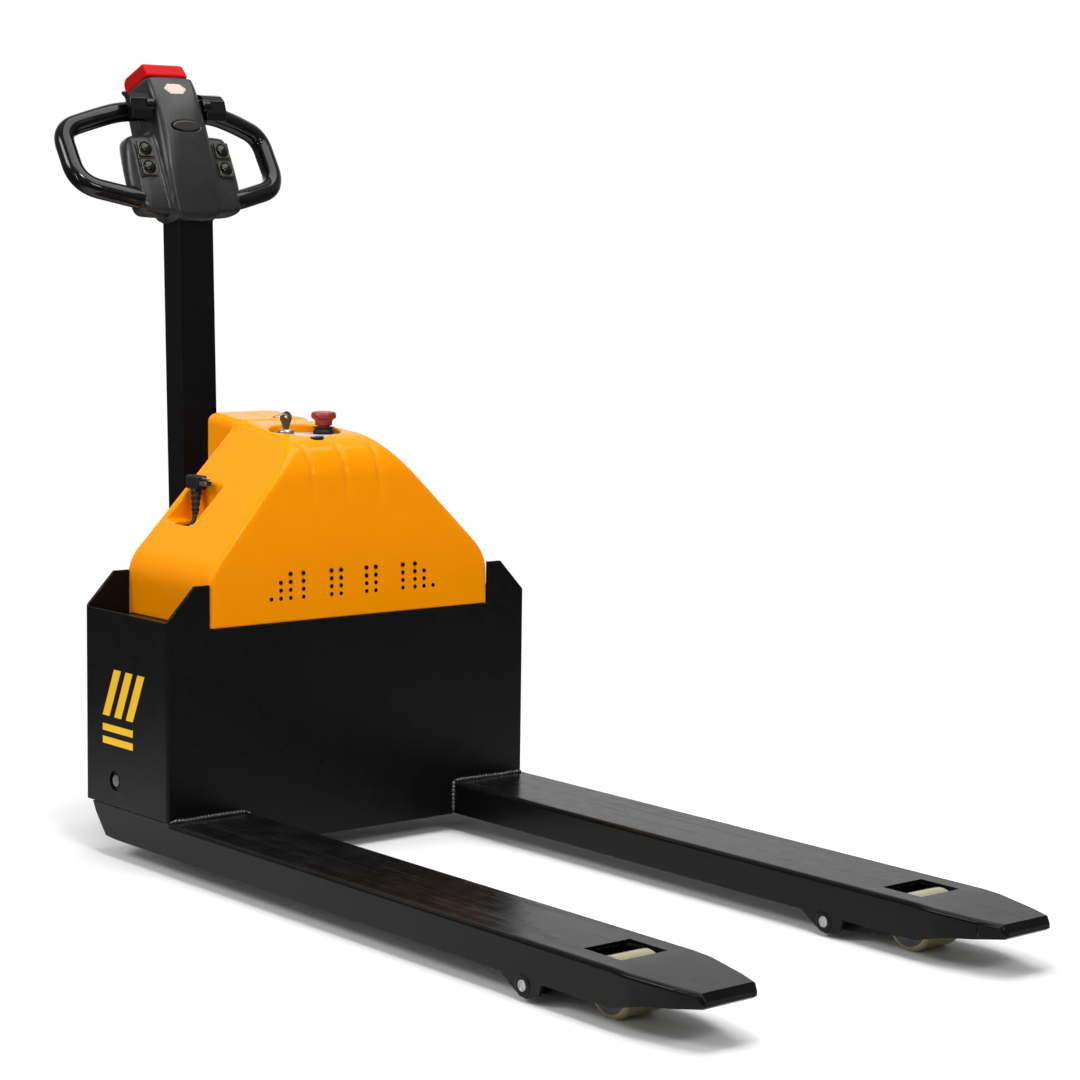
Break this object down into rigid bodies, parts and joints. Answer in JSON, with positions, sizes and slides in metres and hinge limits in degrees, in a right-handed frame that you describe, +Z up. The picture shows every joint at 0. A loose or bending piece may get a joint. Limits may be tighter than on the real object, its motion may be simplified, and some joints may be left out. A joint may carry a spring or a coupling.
{
  "type": "electric pallet jack",
  "caption": "Walk-behind electric pallet jack: black chassis with long forks on lifting rollers, yellow battery cover, and a steering tiller with looped handles.",
  "frame": {"origin": "on the floor, at the middle of the overall length and width", "axes": "+X towards the fork tips, +Y towards the truck's right side seen from the operator, +Z up"},
  "size_m": [1.769, 0.687, 1.2414],
  "materials": {
    "black_paint": "semi-gloss black paint",
    "yellow_cover": "glossy yellow-orange moulded plastic",
    "charcoal_plastic": "fine-textured charcoal plastic",
    "gloss_black": "glossy black plastic",
    "black_rubber": "matt black rubber",
    "tyre_rubber": "solid black tyre",
    "cream_roller": "cast cream polyurethane",
    "zinc_steel": "bright zinc-plated steel",
    "cast_metal": "painted casting",
    "red_plastic": "glossy red plastic",
    "dark_red_plastic": "dark red plastic",
    "grey_panel": "pale grey printed panel",
    "battery_case": "dark grey battery case"
  },
  "bodies": {
    "chassis": {"front_plate": "black_paint", "rear_plate": "black_paint", "left_side_plate": "black_paint", "right_side_plate": "black_paint", "cover_shelf": "black_paint", "battery_tray": "black_paint", "left_battery": "battery_case", "right_battery": "battery_case", "charger": "battery_case", "motor_controller": "cast_metal", "pump_unit": "cast_metal", "lift_cylinder_barrel": "cast_metal", "main_cover": "yellow_cover", "control_panel": "grey_panel", "key_switch": "zinc_steel", "emergency_stop_base": "black_rubber", "charge_indicator": "gloss_black", "charger_lead": "black_rubber", "charger_plug": "black_rubber", "left_fork": "black_paint", "right_fork": "black_paint"},
    "key": {"key": "zinc_steel"},
    "emergency_stop": {"emergency_stop_button": "dark_red_plastic"},
    "crank": {"bell_crank_shaft": "cast_metal"},
    "carrier": {"carrier_frame": "black_paint", "slewing_ring": "zinc_steel", "lift_cylinder_rod": "zinc_steel"},
    "drive_unit": {"gearbox": "cast_metal", "drive_motor": "cast_metal", "motor_brake": "black_rubber", "tiller_bracket": "black_paint", "tiller_pin": "zinc_steel"},
    "drive_wheel": {"drive_hub": "cast_metal", "drive_tyre": "tyre_rubber"},
    "tiller": {"tiller_column": "black_paint", "head_front_shell": "charcoal_plastic", "head_rear_shell": "charcoal_plastic", "left_handle_bow": "gloss_black", "right_handle_bow": "gloss_black"},
    "throttle": {"throttle": "gloss_black"},
    "belly_button": {"belly_button": "red_plastic"},
    "horn_button": {"horn_button": "gloss_black"},
    "left_push_rod": {"left_push_rod": "zinc_steel"},
    "left_rocker": {"left_rocker": "black_paint", "left_rocker_pin": "zinc_steel", "left_roller_axle": "zinc_steel"},
    "left_roller": {"left_roller": "cream_roller"},
    "left_caster": {"left_caster_fork": "zinc_steel"},
    "left_caster_wheel": {"left_caster_wheel": "black_rubber"},
    "left_raise_button": {"left_raise_button": "black_rubber"},
    "left_lower_button": {"left_lower_button": "black_rubber"},
    "right_push_rod": {"right_push_rod": "zinc_steel"},
    "right_rocker": {"right_rocker": "black_paint", "right_rocker_pin": "zinc_steel", "right_roller_axle": "zinc_steel"},
    "right_roller": {"right_roller": "cream_roller"},
    "right_caster": {"right_caster_fork": "zinc_steel"},
    "right_caster_wheel": {"right_caster_wheel": "black_rubber"},
    "right_raise_button": {"right_raise_button": "black_rubber"},
    "right_lower_button": {"right_lower_button": "black_rubber"}
  },
  "joints": [
    {"name": "lift", "type": "slide", "parent": "carrier", "child": "chassis", "axis": [0, 0, 1], "range_m": [0, 0.11]},
    {"name": "crank_turn", "type": "hinge", "parent": "chassis", "child": "crank", "pos_m": [-0.4155, 0, 0.123], "axis": [0, -1, 0], "range_deg": [0, 34.2]},
    {"name": "left_push", "type": "slide", "parent": "chassis", "child": "left_push_rod", "axis": [1, 0, 0], "range_m": [0, 0.0365]},
    {"name": "left_rocker_turn", "type": "hinge", "parent": "chassis", "child": "left_rocker", "pos_m": [0.5765, -0.271, 0.022], "axis": [0, 1, 0], "range_deg": [0, 55.1]},
    {"name": "left_roller_spin", "type": "hinge", "parent": "left_rocker", "child": "left_roller", "pos_m": [0.7005, -0.271, 0.04], "axis": [0, 1, 0], "continuous": true},
    {"name": "left_caster_swivel", "type": "hinge", "parent": "carrier", "child": "left_caster", "pos_m": [-0.6095, -0.19, 0.1], "axis": [0, 0, 1], "continuous": true},
    {"name": "left_caster_spin", "type": "hinge", "parent": "left_caster", "child": "left_caster_wheel", "pos_m": [-0.5845, -0.19, 0.04], "axis": [0, 1, 0], "continuous": true},
    {"name": "right_push", "type": "slide", "parent": "chassis", "child": "right_push_rod", "axis": [1, 0, 0], "range_m": [0, 0.0365]},
    {"name": "right_rocker_turn", "type": "hinge", "parent": "chassis", "child": "right_rocker", "pos_m": [0.5765, 0.271, 0.022], "axis": [0, 1, 0], "range_deg": [0, 55.1]},
    {"name": "right_roller_spin", "type": "hinge", "parent": "right_rocker", "child": "right_roller", "pos_m": [0.7005, 0.271, 0.04], "axis": [0, 1, 0], "continuous": true},
    {"name": "right_caster_swivel", "type": "hinge", "parent": "carrier", "child": "right_caster", "pos_m": [-0.6095, 0.19, 0.1], "axis": [0, 0, 1], "continuous": true},
    {"name": "right_caster_spin", "type": "hinge", "parent": "right_caster", "child": "right_caster_wheel", "pos_m": [-0.5845, 0.19, 0.04], "axis": [0, 1, 0], "continuous": true},
    {"name": "steer", "type": "hinge", "parent": "carrier", "child": "drive_unit", "pos_m": [-0.6395, 0, 0.23], "axis": [0, 0, 1], "range_deg": [-90, 90]},
    {"name": "drive_spin", "type": "hinge", "parent": "drive_unit", "child": "drive_wheel", "pos_m": [-0.6395, 0, 0.105], "axis": [0, 1, 0], "continuous": true},
    {"name": "tiller_tilt", "type": "hinge", "parent": "drive_unit", "child": "tiller", "pos_m": [-0.7205, 0, 0.285], "axis": [0, -1, 0], "range_deg": [0, 80], "stiffness_Nm_per_rad": 25, "springref_deg": -57.3},
    {"name": "throttle_turn", "type": "hinge", "parent": "tiller", "child": "throttle", "pos_m": [-0.78086, 0, 1.17215], "axis": [0, 1, 0], "range_deg": [-20, 20], "stiffness_Nm_per_rad": 0.3},
    {"name": "belly_press", "type": "slide", "parent": "tiller", "child": "belly_button", "axis": [0.3907, 0, -0.9205], "range_m": [0, 0.007], "stiffness_N_per_m": 300, "springref_m": -0.012},
    {"name": "horn_press", "type": "slide", "parent": "tiller", "child": "horn_button", "axis": [-0.9205, 0, -0.3907], "range_m": [0, 0.0025], "stiffness_N_per_m": 600, "springref_m": -0.003},
    {"name": "left_raise_press", "type": "slide", "parent": "tiller", "child": "left_raise_button", "axis": [-0.9205, 0, -0.3907], "range_m": [0, 0.0025], "stiffness_N_per_m": 400, "springref_m": -0.003},
    {"name": "left_lower_press", "type": "slide", "parent": "tiller", "child": "left_lower_button", "axis": [-0.9205, 0, -0.3907], "range_m": [0, 0.0025], "stiffness_N_per_m": 400, "springref_m": -0.003},
    {"name": "right_raise_press", "type": "slide", "parent": "tiller", "child": "right_raise_button", "axis": [-0.9205, 0, -0.3907], "range_m": [0, 0.0025], "stiffness_N_per_m": 400, "springref_m": -0.003},
    {"name": "right_lower_press", "type": "slide", "parent": "tiller", "child": "right_lower_button", "axis": [-0.9205, 0, -0.3907], "range_m": [0, 0.0025], "stiffness_N_per_m": 400, "springref_m": -0.003},
    {"name": "key_turn", "type": "hinge", "parent": "chassis", "child": "key", "pos_m": [-0.3905, -0.044, 0.66], "axis": [0, 0, 1], "range_deg": [0, 90]},
    {"name": "emergency_press", "type": "slide", "parent": "chassis", "child": "emergency_stop", "axis": [0, 0, -1], "range_m": [0, 0.004]}
  ],
  "couplings": [
    {"joint": "crank_turn", "follows": "lift", "rad_per_m": 5.42},
    {"joint": "left_push", "follows": "lift", "ratio": 0.3311},
    {"joint": "left_rocker_turn", "follows": "lift", "rad_per_m": 8.727},
    {"joint": "right_push", "follows": "lift", "ratio": 0.3311},
    {"joint": "right_rocker_turn", "follows": "lift", "rad_per_m": 8.727}
  ]
}
